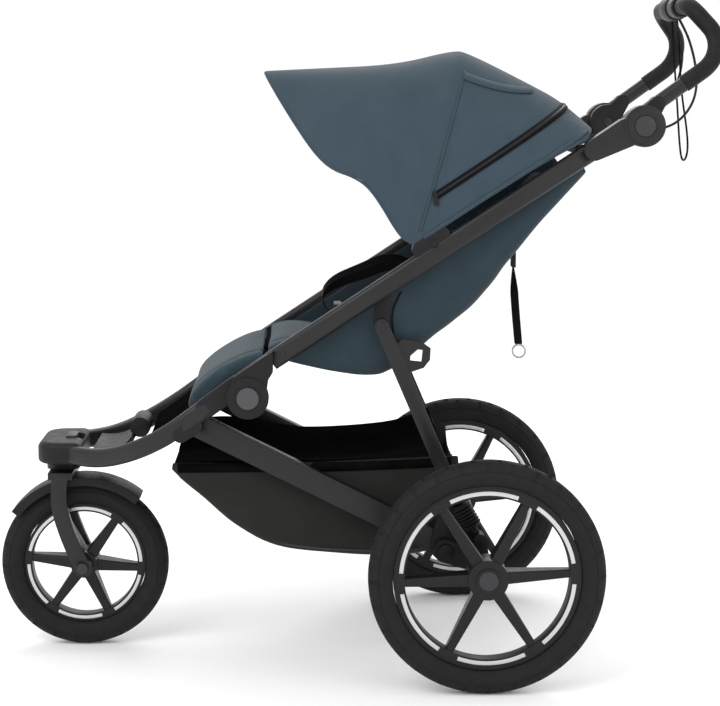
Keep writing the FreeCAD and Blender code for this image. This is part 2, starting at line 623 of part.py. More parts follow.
twist_body = rod(GRIP_AXIS, 22.0, -34, 30).cut(rod(GRIP_AXIS, 14.6, -40, 40))
save("brake_housing", twist_body)
save("brake_twist", rod(GRIP_AXIS, 19.5, 30.5, 74).cut(rod(GRIP_AXIS, 14.6 + GAP, 20, 80)))
cables = []
for side in (1, -1):
    run = [(20, 580, 1133), (27, 592, 1110), (42, 600, 1080), (66, 603, 1047), (92, 600, 1018),
           (117, 591, 993), (137, 576, 972), (151, 558, 956), (161, 538, 946), (173, 520, 943)]
    cables.append(cord([(side * x, y, z) for x, y, z in run], 2.3, "brake cable"))
save("brake_cables", Part.makeCompound(cables))
loop = [(-44, 588, 1140), (-46, 593, 1106), (-47, 596, 1066), (-46, 598, 1024), (-44, 603, 984),
        (-41, 609, 946), (-38.5, 612, 918), (-37, 612, 900), (-34, 609.5, 889.5), (-26, 605, 883),
        (-16, 599, 883), (-8, 595, 889.5), (-5, 592.5, 900), (-6, 590, 924), (-9, 588, 956),
        (-15, 586, 994), (-25, 584, 1036), (-34, 582, 1076), (-41, 581, 1107), (-44, 580, 1132)]
save("wrist_strap", cord(loop, 1.9, "wrist strap"))
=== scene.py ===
# %% [markdown]
# # A jogging stroller, finished in Blender
# The frame, wheels, hinges and pivots arrive as a imported CAD model, already in metres and in
# place. This lesson gives those hard parts rounded edges and real finishes, and makes the
# cloth, foam, webbing and cords, because those are what CAD cannot shape.

# %% Load the frame
import bpy
import bmesh
import json
import math
from mathutils import Matrix, Vector, noise
from mathutils.bvhtree import BVHTree


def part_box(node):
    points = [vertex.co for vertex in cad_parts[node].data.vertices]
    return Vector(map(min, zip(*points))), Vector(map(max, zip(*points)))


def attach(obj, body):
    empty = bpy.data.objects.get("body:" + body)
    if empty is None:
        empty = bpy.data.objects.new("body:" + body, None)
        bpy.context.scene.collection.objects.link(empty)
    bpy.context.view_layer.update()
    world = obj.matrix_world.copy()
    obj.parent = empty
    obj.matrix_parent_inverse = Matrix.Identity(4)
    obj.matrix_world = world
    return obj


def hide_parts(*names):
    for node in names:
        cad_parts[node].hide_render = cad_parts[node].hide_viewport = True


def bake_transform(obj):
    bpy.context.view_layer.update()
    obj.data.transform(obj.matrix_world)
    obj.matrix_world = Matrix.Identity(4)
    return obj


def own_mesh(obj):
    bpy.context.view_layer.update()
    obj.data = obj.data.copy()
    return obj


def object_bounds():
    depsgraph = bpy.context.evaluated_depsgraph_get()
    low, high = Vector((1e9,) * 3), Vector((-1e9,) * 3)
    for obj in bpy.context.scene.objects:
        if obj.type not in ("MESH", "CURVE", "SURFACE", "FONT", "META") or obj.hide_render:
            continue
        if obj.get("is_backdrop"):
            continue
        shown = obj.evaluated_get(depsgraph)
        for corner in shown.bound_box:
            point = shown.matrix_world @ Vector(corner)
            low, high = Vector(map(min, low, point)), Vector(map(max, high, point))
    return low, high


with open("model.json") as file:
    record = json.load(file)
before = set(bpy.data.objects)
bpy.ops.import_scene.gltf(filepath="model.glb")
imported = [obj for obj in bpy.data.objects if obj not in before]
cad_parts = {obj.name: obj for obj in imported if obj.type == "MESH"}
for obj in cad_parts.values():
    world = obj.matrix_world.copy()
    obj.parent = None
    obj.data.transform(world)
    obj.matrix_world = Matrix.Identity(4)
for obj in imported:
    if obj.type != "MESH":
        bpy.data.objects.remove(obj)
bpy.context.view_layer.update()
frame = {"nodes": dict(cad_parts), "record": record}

# %% [markdown]
# ## The camera
# A long lens, level with the handlebar and well off to the side, flattens the wheels into
# near circles. The camera is turned down a few degrees towards the middle of the stroller,
# so the lens needs no shift and any other view stays framed.

# %% Camera
camera = bpy.data.objects.new("camera", bpy.data.cameras.new("camera"))
bpy.context.scene.collection.objects.link(camera)
camera.location = (3.412, -0.073, 1.0152)
camera.rotation_mode = "QUATERNION"
camera.rotation_quaternion = Vector((-1.0, 0.0262, -0.1405)).to_track_quat("-Z", "Y")
camera.data.lens = 95.0
camera.data.sensor_width = 36.0
camera.data.clip_end = 50.0
bpy.context.scene.camera = camera

# %% [markdown]
# ## Small tools used all the way through
# A NURBS line of control points is how cords and bindings are laid out, and a grid bent by
# a function is how every sheet of cloth begins. A finished piece is then given to the CAD
# body that carries it, which is what settle does.

# %% Tools
def settle(piece, body, replaced=()):
    """Gives a piece its body and the CAD nodes it stands for."""
    if body:
        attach(piece, body)
    if replaced:
        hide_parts(*replaced)
    return piece


def object_from(bm, name, material, smooth_angle=40):
    mesh = bpy.data.meshes.new(name)
    bm.to_mesh(mesh)
    bm.free()
    piece = bpy.data.objects.new(name, mesh)
    bpy.context.scene.collection.objects.link(piece)
    piece.data.materials.append(material)
    mesh.shade_smooth()
    if smooth_angle < 180:
        mesh.set_sharp_from_angle(angle=math.radians(smooth_angle))
    return piece


def add_modifier(piece, kind, **values):
    modifier = piece.modifiers.new(kind.title(), kind)
    for key, value in values.items():
        setattr(modifier, key, value)
    return modifier


def bent_grid(name, material, shape, nu, nv, size, solid=0.002, levels=1, smooth_angle=180):
    """A grid of nu by nv cells that shape(u, v) bends into place, with u and v from 0 to 1.
    Its UV map is in metres of the flat size."""
    bm = bmesh.new()
    bmesh.ops.create_grid(bm, x_segments=nu, y_segments=nv, size=0.5, calc_uvs=True)
    uv = bm.loops.layers.uv.verify()
    for face in bm.faces:
        for loop in face.loops:
            u, v = loop.vert.co.x + 0.5, loop.vert.co.y + 0.5
            loop[uv].uv = (u * size[0], v * size[1])
    for vert in bm.verts:
        u, v = vert.co.x + 0.5, vert.co.y + 0.5
        vert.co = Vector(shape(min(max(u, 0), 1), min(max(v, 0), 1)))
    bmesh.ops.recalc_face_normals(bm, faces=bm.faces)
    piece = object_from(bm, name, material, smooth_angle)
    if solid:
        add_modifier(piece, "SOLIDIFY", thickness=solid, offset=0)
    if levels:
        add_modifier(piece, "SUBSURF", levels=levels, render_levels=levels)
    return piece


def cord_curve(name, points, radius, material):
    """A NURBS cord whose control points are the points of its route."""
    data = bpy.data.curves.new(name, "CURVE")
    data.dimensions = "3D"
    line = data.splines.new("NURBS")
    line.points.add(len(points) - 1)
    for point, place in zip(line.points, points):
        point.co = (*place, 1.0)
    line.order_u = 3
    line.use_endpoint_u = True
    line.resolution_u = 8
    data.bevel_depth = radius
    data.bevel_resolution = 3
    data.use_fill_caps = True
    data.materials.append(material)
    piece = bpy.data.objects.new(name, data)
    bpy.context.scene.collection.objects.link(piece)
    return piece


# %% [markdown]
# ## Finishes
# Every finish is a Principled shader with two or three procedural layers: a slow noise that
# shifts colour or gloss, so no surface is perfectly even, and a fine one in the bump for
# the grain. Paint and plastic read Object coordinates. Cloth reads its UV map, laid out in
# metres, so the weave keeps one size however the sheet bends.

# %% Shader tools
def shader(name):
    material = bpy.data.materials.new(name)
    material.use_nodes = True
    nodes, links = material.node_tree.nodes, material.node_tree.links
    return material, nodes, links, nodes["Principled BSDF"]


def add_noise(nodes, links, source, scale, detail=3.0, roughness=0.5):
    texture = nodes.new("ShaderNodeTexNoise")
    texture.inputs["Scale"].default_value = scale
    texture.inputs["Detail"].default_value = detail
    texture.inputs["Roughness"].default_value = roughness
    links.new(source, texture.inputs["Vector"])
    return texture.outputs["Fac"]


def remap(nodes, links, value, low, high, start=0.3, stop=0.7):
    step = nodes.new("ShaderNodeMapRange")
    step.inputs["From Min"].default_value = start
    step.inputs["From Max"].default_value = stop
    step.inputs["To Min"].default_value = low
    step.inputs["To Max"].default_value = high
    links.new(value, step.inputs["Value"])
    return step.outputs["Result"]


def blend_colours(nodes, links, factor, first, second):
    mix = nodes.new("ShaderNodeMix")
    mix.data_type = "RGBA"
    mix.inputs["A"].default_value = (*first, 1.0)
    mix.inputs["B"].default_value = (*second, 1.0)
    links.new(factor, mix.inputs["Factor"])
    return mix.outputs["Result"]


def math_node(nodes, links, operation, first, second=None):
    node = nodes.new("ShaderNodeMath")
    node.operation = operation
    for socket, value in zip(node.inputs, (first, second)):
        if value is None:
            continue
        if isinstance(value, (int, float)):
            socket.default_value = value
        else:
            links.new(value, socket)
    return node.outputs[0]


def bump_into(nodes, links, principled, height, strength, distance):
    bump = nodes.new("ShaderNodeBump")
    bump.inputs["Strength"].default_value = strength
    bump.inputs["Distance"].default_value = distance
    links.new(height, bump.inputs["Height"])
    links.new(bump.outputs["Normal"], principled.inputs["Normal"])


def hard_finish(name, dark, light, gloss, metallic=0.0, grain=900.0, bump=0.15, shine=0.4):
    """Paint, moulded plastic, rubber or metal: dark and light are its two tones, and gloss
    is the range of roughness."""
    material, nodes, links, principled = shader(name)
    place = nodes.new("ShaderNodeTexCoord").outputs["Object"]
    slow = add_noise(nodes, links, place, 9.0)
    fine = add_noise(nodes, links, place, grain, 2.0)
    patch = add_noise(nodes, links, place, 60.0, 4.0, 0.6)
    links.new(blend_colours(nodes, links, slow, dark, light), principled.inputs["Base Color"])
    links.new(remap(nodes, links, patch, *gloss), principled.inputs["Roughness"])
    principled.inputs["Metallic"].default_value = metallic
    principled.inputs["Specular IOR Level"].default_value = shine
    bump_into(nodes, links, principled, fine, bump, 0.0004)
    return material


def cloth_finish(name, dark, light, thread=0.0011, sheen=0.12, rough=0.85, rib=0.5, shine=0.12,
                 source="UV"):
    """Plain-woven cloth: two crossing sets of threads, uneven in tone. A sheet reads its own
    UV map, and a stuffed pad, which has none after its remesh, reads Object coordinates."""
    material, nodes, links, principled = shader(name)
    flat = nodes.new("ShaderNodeTexCoord").outputs[source]
    principled.inputs["Specular IOR Level"].default_value = shine
    waves = []
    for direction in ("X", "Y"):
        wave = nodes.new("ShaderNodeTexWave")
        wave.bands_direction = direction
        wave.inputs["Scale"].default_value = 0.314 / thread
        wave.inputs["Distortion"].default_value = 0.6
        wave.inputs["Detail"].default_value = 1.0
        links.new(flat, wave.inputs["Vector"])
        waves.append(wave.outputs["Fac"])
    weave = math_node(nodes, links, "MULTIPLY", *waves)
    heather = add_noise(nodes, links, flat, 420.0, 2.0, 0.7)
    slow = add_noise(nodes, links, flat, 14.0, 3.0)
    tone = math_node(nodes, links, "ADD", math_node(nodes, links, "MULTIPLY", heather, 0.6),
                     math_node(nodes, links, "MULTIPLY", slow, 0.4))
    tone = remap(nodes, links, tone, 0.0, 1.0, 0.35, 0.65)
    links.new(blend_colours(nodes, links, tone, dark, light), principled.inputs["Base Color"])
    principled.inputs["Roughness"].default_value = rough
    principled.inputs["Sheen Weight"].default_value = sheen
    principled.inputs["Sheen Roughness"].default_value = 0.45
    crinkle = add_noise(nodes, links, flat, 60.0, 5.0, 0.55)
    height = math_node(nodes, links, "ADD", math_node(nodes, links, "MULTIPLY", weave, rib),
                       math_node(nodes, links, "MULTIPLY", crinkle, 1.2))
    bump_into(nodes, links, principled, height, 0.35, 0.0006)
    return material


# %% The finishes themselves
charcoal = hard_finish("charcoal_paint", (0.006, 0.006, 0.007), (0.012, 0.012, 0.013),
                       (0.34, 0.46), shine=0.34)
black_plastic = hard_finish("black_plastic", (0.004, 0.004, 0.005), (0.009, 0.009, 0.010),
                            (0.42, 0.56), grain=1400, shine=0.24)
wheel_plastic = hard_finish("wheel_plastic", (0.006, 0.006, 0.007), (0.011, 0.011, 0.012),
                            (0.34, 0.46), grain=1400, shine=0.24)
tyre_rubber = hard_finish("tyre_rubber", (0.009, 0.009, 0.010), (0.015, 0.015, 0.016),
                          (0.62, 0.80), grain=700, bump=0.3, shine=0.16)
foam_rubber = hard_finish("grip_foam", (0.003, 0.003, 0.003), (0.007, 0.007, 0.008),
                          (0.50, 0.68), grain=1800, bump=0.6, shine=0.24)
bright_arc = hard_finish("bright_arc", (0.50, 0.50, 0.50), (0.64, 0.64, 0.64),
                         (0.28, 0.40), metallic=0.9, bump=0.05)
steel = hard_finish("satin_steel", (0.40, 0.40, 0.41), (0.52, 0.52, 0.53),
                    (0.25, 0.36), metallic=1.0, bump=0.05)
button_grey = hard_finish("button_grey", (0.024, 0.024, 0.026), (0.034, 0.034, 0.037),
                          (0.36, 0.48), shine=0.3)
cap_grey = hard_finish("cap_grey", (0.052, 0.052, 0.056), (0.068, 0.068, 0.072),
                       (0.36, 0.48), shine=0.3)
shade_cloth = cloth_finish("shade_cloth", (0.033, 0.053, 0.068), (0.044, 0.068, 0.087))
# painted shade: the seat cloth is the shade cloth's fabric, given darker tones for the shade that falls on the
# seat
seat_cloth_painted_shade = cloth_finish("seat_cloth_painted_shade", (0.021, 0.035, 0.044), (0.029, 0.046, 0.057))
pad_cloth = cloth_finish("pad_cloth", (0.027, 0.045, 0.056), (0.036, 0.058, 0.072), source="Object")
basket_cloth = cloth_finish("basket_cloth", (0.015, 0.016, 0.014), (0.022, 0.023, 0.020), sheen=0.05)
cover_cloth = cloth_finish("cover_cloth", (0.0025, 0.0025, 0.0025), (0.006, 0.006, 0.006),
                           sheen=0.0, rough=0.6, shine=0.0)
webbing = cloth_finish("webbing", (0.003, 0.003, 0.004), (0.007, 0.007, 0.008),
                       thread=0.0016, sheen=0.05, rib=1.0, shine=0.08)

FINISH = {
    "satin_metal": charcoal, "black_plastic": black_plastic, "wheel_plastic": wheel_plastic,
    "tyre": tyre_rubber, "reflector": bright_arc, "steel": steel, "shade_fabric": shade_cloth,
    "seat_fabric": seat_cloth_painted_shade, "basket_fabric": basket_cloth, "cover_fabric": cover_cloth,
    "webbing": webbing, "foam": foam_rubber, "button_plastic": button_grey,
}
SLOT_OF = {s["node"]: s["material_slot"] for s in frame["record"]["subparts"]}
BODY_OF = {n: b for b, ns in frame["record"]["behaviour"]["bodies"].items() for n in ns}
for node, piece in frame["nodes"].items():
    piece.data.materials.clear()
    axle_cap = node == "front_axle"
    piece.data.materials.append(button_grey if axle_cap else FINISH[SLOT_OF[node]])

# %% [markdown]
# ## Cords
# Two brake cables leave the twist housing, swing behind the grip and go into the pivot
# hubs, and a thin wrist strap hangs from the grip in a loop. A NURBS line through the
# route's points is smooth everywhere, which is how a stiff cable really lies.

# %% Brake cables and wrist strap
CABLE = [(20, 580, 1133), (27, 592, 1110), (42, 600, 1080), (66, 603, 1047), (92, 600, 1018),
         (117, 591, 993), (137, 576, 972), (151, 558, 956), (161, 538, 946), (173, 520, 943)]
for side, name in ((1, "brake_cable_left"), (-1, "brake_cable_right")):
    route = [(side * x / 1000, y / 1000, z / 1000) for x, y, z in CABLE]
    cable = cord_curve(name, route, 0.0023, black_plastic)
    settle(cable, "handlebar", ["brake_cables"])
    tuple(route[0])

STRAP = [(-44, 588, 1140), (-46, 593, 1106), (-47, 596, 1066), (-46, 598, 1024), (-44, 603, 984),
         (-41, 609, 946), (-38.5, 612, 918), (-37, 612, 900), (-34, 609.5, 889.5), (-26, 605, 883),
         (-16, 599, 883), (-8, 595, 889.5), (-5, 592.5, 900), (-6, 590, 924), (-9, 588, 956),
         (-15, 586, 994), (-25, 584, 1036), (-34, 582, 1076), (-41, 581, 1107), (-44, 580, 1132)]
route = [(x / 1000, y / 1000, z / 1000) for x, y, z in STRAP]
strap = cord_curve("wrist_strap_loop", route, 0.0019, webbing)
settle(strap, "handlebar", ["wrist_strap"])
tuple(route[0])
print("two brake cables of 0.284 m and a wrist strap of 0.533 m")

# %% [markdown]
# ## Rounded edges on the hard parts
# No moulded or machined edge is knife sharp, and a bright line along each edge is what
# makes plastic look like plastic. Each CAD part is copied, its loose triangles are merged,
# flat areas are dissolved, and every remaining crease is bevelled by a millimetre or so.

# %% Soften the CAD parts
def soften(node, width=0.0012, angle=32):
    """A copy of a CAD part with every crease sharper than angle bevelled to that width."""
    bm = bmesh.new()
    bm.from_mesh(frame["nodes"][node].data)
    bmesh.ops.remove_doubles(bm, verts=bm.verts, dist=0.00002)
    bmesh.ops.dissolve_limit(bm, angle_limit=math.radians(1.0), verts=bm.verts, edges=bm.edges)
    creases = [e for e in bm.edges
               if len(e.link_faces) == 2 and e.calc_face_angle(0) > math.radians(angle)]
    bmesh.ops.bevel(bm, geom=creases, affect="EDGES", offset=width, offset_type="OFFSET",
                    segments=2, profile=0.5, material=-1, clamp_overlap=True)
    bmesh.ops.triangulate(bm, faces=[f for f in bm.faces if len(f.verts) > 4])
    piece = object_from(bm, node + "_finished", FINISH[SLOT_OF[node]], 50)
    return settle(piece, BODY_OF[node], [node])


HARD_PARTS = ("lower_tubes", "rear_knuckles", "swing_arm_L", "swing_arm_R", "front_hinges",
              "fold_brackets", "nose_housing", "fork", "mudguard", "rail_hinges", "leg_brackets",
              "handle_housings", "handle_hubs", "rear_leg_L", "rear_leg_R", "upper_rails",
              "front_tubes", "rear_rim_L", "rear_rim_R", "front_rim", "swivel_lock",
              "canopy_mounts", "handle_button_L", "handle_button_R", "hub_button_L",
              "hub_button_R", "brake_housing", "brake_twist", "footrest", "rear_crossbar", "grip",
              "rear_reflectors_L", "rear_reflectors_R", "front_reflectors")
for node in HARD_PARTS:
    soften(node)
print("softened", len(HARD_PARTS), "hard parts")

# %% [markdown]
# ## Spring boots
# The two rubber boots arrive as one CAD part. Each is cut out of a copy. On the stroller each
# shortens along its own axis as its swing arm rises, which is what the bellows do.

# %% Spring boots
for side, joint in ((1, "swing_L"), (-1, "swing_R")):
    boot = soften("spring_units", 0.0006)
    boot.name = "spring_boot_" + joint[-1]
    bm = bmesh.new()
    bm.from_mesh(boot.data)
    bmesh.ops.delete(bm, geom=[v for v in bm.verts if v.co.x * side < 0], context="VERTS")
    bm.to_mesh(boot.data)
    bm.free()
    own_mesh(boot)
    print(boot.name, len(boot.data.polygons), "faces")

# %% [markdown]
# ## Tyres
# A tyre is its outline turned once round the axle. The tread is then cut: at even steps round
# the wheel the faces of the shoulder, and between them those of the middle, are pushed in,
# which leaves blocks with real walls. A shallow groove runs round each sidewall.

# %% Tyre tool
TYRE_HEIGHT = 0.041      # from the rim bed to the tread
TREAD_DEPTH = 0.0016
# half of a tyre's outline: share of its half width, height over the rim bed
TYRE_HALF = [(-0.62, 0), (-0.80, 0.003), (-0.93, 0.010), (-0.955, 0.0125), (-0.99, 0.014),
             (-1.0, 0.019), (-0.985, 0.0230), (-0.935, 0.0242), (-0.960, 0.0262),
             (-0.85, 0.032), (-0.68, 0.0365), (-0.48, 0.0395), (-0.20, TYRE_HEIGHT)]
TYRE_OUTLINE = TYRE_HALF + [(-x, r) for x, r in TYRE_HALF[::-1]]


def tyre_ring(name, node, body, tread_steps):
    """A tyre in the box of its CAD node, with cut tread blocks."""
    low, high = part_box(node)
    middle = (Vector(low) + Vector(high)) / 2
    outer, half = (high[2] - low[2]) / 2, (high[0] - low[0]) / 2
    bed = outer - TYRE_HEIGHT
    bm = bmesh.new()
    ring = [bm.verts.new(middle + Vector((x * half, 0, bed + r))) for x, r in TYRE_OUTLINE]
    edges = [bm.edges.new(pair) for pair in zip(ring, ring[1:] + ring[:1])]
    bmesh.ops.spin(bm, geom=ring + edges, cent=middle, axis=(1, 0, 0), angle=math.tau,
                   steps=tread_steps, use_merge=True)
    bmesh.ops.remove_doubles(bm, verts=bm.verts, dist=0.00001)
    bmesh.ops.recalc_face_normals(bm, faces=bm.faces)
    notches = []
    for face in bm.faces:
        place = face.calc_center_median() - middle
        radius, across = math.hypot(place.y, place.z), abs(place.x) / half
        turn = int(math.atan2(place.z, place.y) / math.tau * tread_steps + tread_steps * 2 + 0.25)
        shoulder = across > 0.45 and turn % 6 == 0
        centre_cut = across < 0.5 and turn % 6 == 3
        if radius > bed + 0.029 and (shoulder or centre_cut):
            notches.append(face)
    cut = bmesh.ops.extrude_discrete_faces(bm, faces=notches)["faces"]
    for face in cut:
        centre = face.calc_center_median()
        inward = Vector((0, middle.y - centre.y, middle.z - centre.z)).normalized() * TREAD_DEPTH
        for vert in face.verts:
            vert.co += inward + (centre - vert.co) * 0.22
    return settle(object_from(bm, name, tyre_rubber, 34), body, [node])


for name, node, body, steps in (("tyre_front", "front_tyre", "front_wheel", 132),
                                ("tyre_rear_left", "rear_tyre_L", "rear_wheel_L", 168),
                                ("tyre_rear_right", "rear_tyre_R", "rear_wheel_R", 168)):
    tyre = tyre_ring(name, node, body, steps)
    print(name, len(tyre.data.polygons), "faces")

# %% [markdown]
# ## Bolts and caps
# The joints of the frame show small socket bolts. Each is a low cone with an inset socket,
# sunk into the part it clamps.

# %% Bolts
PLAIN_CAP = 0.015        # a cap of this radius or more has no socket


def bolt(name, x, y, z, radius, body, side=1, rise=0.002):
    """A low round head at x on one side of the stroller, with a socket if it is small."""
    small = radius < PLAIN_CAP
    bm = bmesh.new()
    bmesh.ops.create_cone(bm, cap_ends=True, segments=24 if small else 64, radius1=radius,
                          radius2=radius - rise * 0.6, depth=rise)
    if small:
        top = max(bm.faces, key=lambda f: f.calc_center_median().z)
        bmesh.ops.inset_region(bm, faces=[top], thickness=radius * 0.45, depth=0)
        top = max((f for f in bm.faces if len(f.verts) == 24), key=lambda f: f.calc_center_median().z)
        bmesh.ops.translate(bm, verts=top.verts, vec=(0, 0, -rise * 0.7))
    turn = Matrix.Rotation(math.radians(90 * side), 3, "Y")
    bmesh.ops.rotate(bm, verts=bm.verts, cent=(0, 0, 0), matrix=turn)
    bmesh.ops.translate(bm, verts=bm.verts, vec=(side * (x + rise / 2 - 0.0005), y, z))
    piece = object_from(bm, name, button_grey if small else cap_grey, 30)
    return settle(piece, body)


for side, tail, mark in ((1, "left", "L"), (-1, "right", "R")):
    bolt("arm_bolt_" + tail, 0.226, 0.1576, 0.222, 0.009, "swing_arm_" + mark, side)
    bolt("rail_bolt_" + tail, 0.217, -0.120, 0.5645, 0.004, "upper_frame", side)
    bolt("hinge_cap_" + tail, 0.2355, -0.180, 0.491, 0.0195, "front_frame", side, 0.0024)
    bolt("leg_foot_bolt_" + tail, 0.2125, 0.165, 0.345, 0.0045, "rear_leg_" + mark, side)
print("six bolts and two hinge caps")

# %% [markdown]
# ## Sheets through rows
# A fabric shell is easiest to plan as rows of points, one row for each rib of the shape. A
# quadratic curve that glances off each point, first along the rows and then across them,
# gives one smooth sheet, as cloth pulled over a few ribs does. Small creases are then pushed
# in along the normals with a stretched noise, fading out at the hems that hold the cloth.

# %% Row tools
def glance(points, t):
    """The place at t from 0 to 1 on the quadratic curve that these points steer."""
    last = len(points) - 3
    i = min(int(t * (last + 1)), last)
    f = t * (last + 1) - i
    a, b, c = points[i], points[i + 1], points[i + 2]
    start = a if i == 0 else (a + b) / 2
    stop = c if i == last else (b + c) / 2
    return start * (1 - f) ** 2 + b * (2 * f * (1 - f)) + stop * f ** 2


def mirrored(half):
    """A row from the left edge to the middle, carried on to the right edge."""
    return [Vector(p) for p in half] + [Vector((-x, y, z)) for x, y, z in half[-2::-1]]


def over_rows(rows):
    """The surface through rows of millimetre points, as a function of u and v in metres."""
    return lambda u, v: glance([glance(row, v) for row in rows], u) / 1000


def crease(piece, depth, squeeze, seed, hold=None):
    """Pushes folds into a sheet: squeeze scales the noise along X, Y and Z."""
    for vert in piece.data.vertices:
        p = vert.co
        place = Vector((p.x * squeeze[0], p.y * squeeze[1], p.z * squeeze[2] + seed))
        amount = noise.noise(place) + 0.45 * noise.noise(place * 2.3 + Vector((4, 7, seed)))
        vert.co = p + vert.normal * (amount * depth * (hold(p) if hold else 1.0))
    return piece


def lie_on(tree, y, z, side, lift=0.0012):
    """The place on a cloth straight in from one side at y and z, lifted off it a little."""
    hit, normal, _, _ = tree.ray_cast(Vector((side * 0.6, y, z)), Vector((-side, 0, 0)))
    if hit is None:
        return None
    if normal.x * side < 0:
        normal = -normal
    return hit + normal * lift


def tree_of(piece):
    mesh = bpy.data.meshes.new_from_object(piece.evaluated_get(bpy.context.evaluated_depsgraph_get()))
    tree = BVHTree.FromPolygons([v.co for v in mesh.vertices], [p.vertices for p in mesh.polygons])
    bpy.data.meshes.remove(mesh)
    return tree


def band_on(name, tree, line, width, side, material, lift=0.0014, cells=40):
    """A flat band of one width that follows a line of (y, z) over a cloth."""
    path = [Vector((0, y, z)) for y, z in line]

    def shape(u, v):
        t = min(u, 0.999)
        place = glance(path, t)
        ahead = (glance(path, min(t + 0.01, 1)) - glance(path, max(t - 0.01, 0))).normalized()
        off = place + Vector((0, -ahead.z, ahead.y)) * (v - 0.5) * width
        return lie_on(tree, off.y, off.z, side, lift) or lie_on(tree, place.y, place.z, side, lift)

    return bent_grid(name, material, shape, cells, 2, (1, width), solid=0.0012, levels=0)


def trim(name, points, radius, material, body):
    """A round binding or piping: a curve through the points, made a mesh."""
    curve = cord_curve(name + "_line", points, radius, material)
    mesh = bpy.data.meshes.new_from_object(curve.evaluated_get(bpy.context.evaluated_depsgraph_get()))
    bpy.data.objects.remove(curve)
    piece = bpy.data.objects.new(name, mesh)
    bpy.context.scene.collection.objects.link(piece)
    return settle(piece, body) if body else piece


def flat_area(piece):
    return sum(p.area for p in piece.data.polygons)


# %% [markdown]
# ## The canopy
# The canopy is one sheet of canvas over two hoops. Its rows are arches, from the visor's
# edge back to the rails, and the middle hoop lifts a soft ridge in the crown. On the stroller
# the front of the sheet turns with the front hoop when the canopy is pushed back.

# %% Canopy sheet
# the crown and the foot of each arch as (y, z), and the visor's edge as (x, y, z), in millimetres
CROWN = [(-155, 1046), (-52, 1047), (80, 1053), (184, 1079), (208, 1073), (304, 1025), (378, 984),
         (414, 942)]
FOOT = [(100, 749), (112, 752), (122, 757), (134, 766), (150, 777), (236, 833), (330, 893), (394, 926)]
VISOR = [(213, 104, 750), (213, 92, 750), (212, 72, 772), (210, 44, 824), (205, 14, 862),
         (197, -22, 869), (186, -48, 884), (160, -74, 913), (100, -114, 974), (48, -147, 1028), (0, -155, 1046)]
canopy_rows = [mirrored(VISOR)]
for (crown_y, crown_z), (foot_y, foot_z) in zip(CROWN[1:], FOOT[1:]):
    arch = []
    for step in range(9):
        turn = math.radians(90 * step / 8)
        rise = math.sin(turn) ** 0.95
        arch.append((214 * math.cos(turn) ** 0.7, foot_y + (crown_y - foot_y) * rise ** 1.35,
                     foot_z + (crown_z - foot_z) * rise + 4 * math.sin(2 * turn)))
    canopy_rows.append(mirrored(arch))
canopy_shape = over_rows(canopy_rows)
canopy = bent_grid("canopy_sheet", shade_cloth, canopy_shape, 84, 72, (0.66, 0.92), solid=0.0018)


def loose_cloth(p):
    """Little creasing where a hoop or hem holds the canopy taut."""
    return min(1.0, 6 * abs(p.x)) * min(1.0, max(0.1, (p.z - 0.80) * 5))


crease(canopy, 0.0022, (2.0, 9.0, 4.0), 3.0, loose_cloth)
canopy_tree = tree_of(canopy)
canopy_trims = []
for side, tail in ((1, "left"), (-1, "right")):
    zip_tape = band_on("canopy_zip_tape_" + tail, canopy_tree,
                       [(0.136, 0.830), (0.25, 0.904), (0.372, 0.984)], 0.013, side, webbing)
    zip_teeth = band_on("canopy_zip_teeth_" + tail, canopy_tree,
                        [(0.137, 0.831), (0.25, 0.904), (0.371, 0.983)], 0.004, side, black_plastic,
                        0.0026)
    vent_flap = band_on("canopy_vent_" + tail, canopy_tree,
                        [(0.190, 1.032), (0.258, 1.004), (0.310, 1.008)], 0.012, side, shade_cloth,
                        0.0022, 24)
    seam = band_on("canopy_seam_" + tail, canopy_tree, [(0.192, 1.040), (0.160, 0.930), (0.112, 0.772)],
                   0.0035, side, shade_cloth, 0.0012)
    hem = band_on("canopy_hem_" + tail, canopy_tree, [(0.118, 0.762), (0.250, 0.848), (0.396, 0.940)],
                  0.006, side, shade_cloth, 0.0012)
    zip_pull = band_on("canopy_zip_pull_" + tail, canopy_tree,
                       [(0.137, 0.840), (0.1385, 0.829), (0.140, 0.816)], 0.007, side, black_plastic,
                       0.0042, 10)
    canopy_trims += [(zip_pull, "black_plastic"), (zip_tape, "webbing"),
                     (zip_teeth, "black_plastic"), (vent_flap, "shade_fabric"),
                     (seam, "shade_fabric"), (hem, "shade_fabric")]
visor_edge = [canopy_shape(0.0, v / 24) for v in range(25)]
visor_binding = trim("visor_binding", visor_edge, 0.0022, shade_cloth, None)
canopy_trims.append((visor_binding, "shade_fabric"))
for piece, slot in [(canopy, "shade_fabric")] + canopy_trims:
    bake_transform(piece)
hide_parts("canopy_fabric")
print("canopy cloth", round(flat_area(canopy), 3), "square metres")
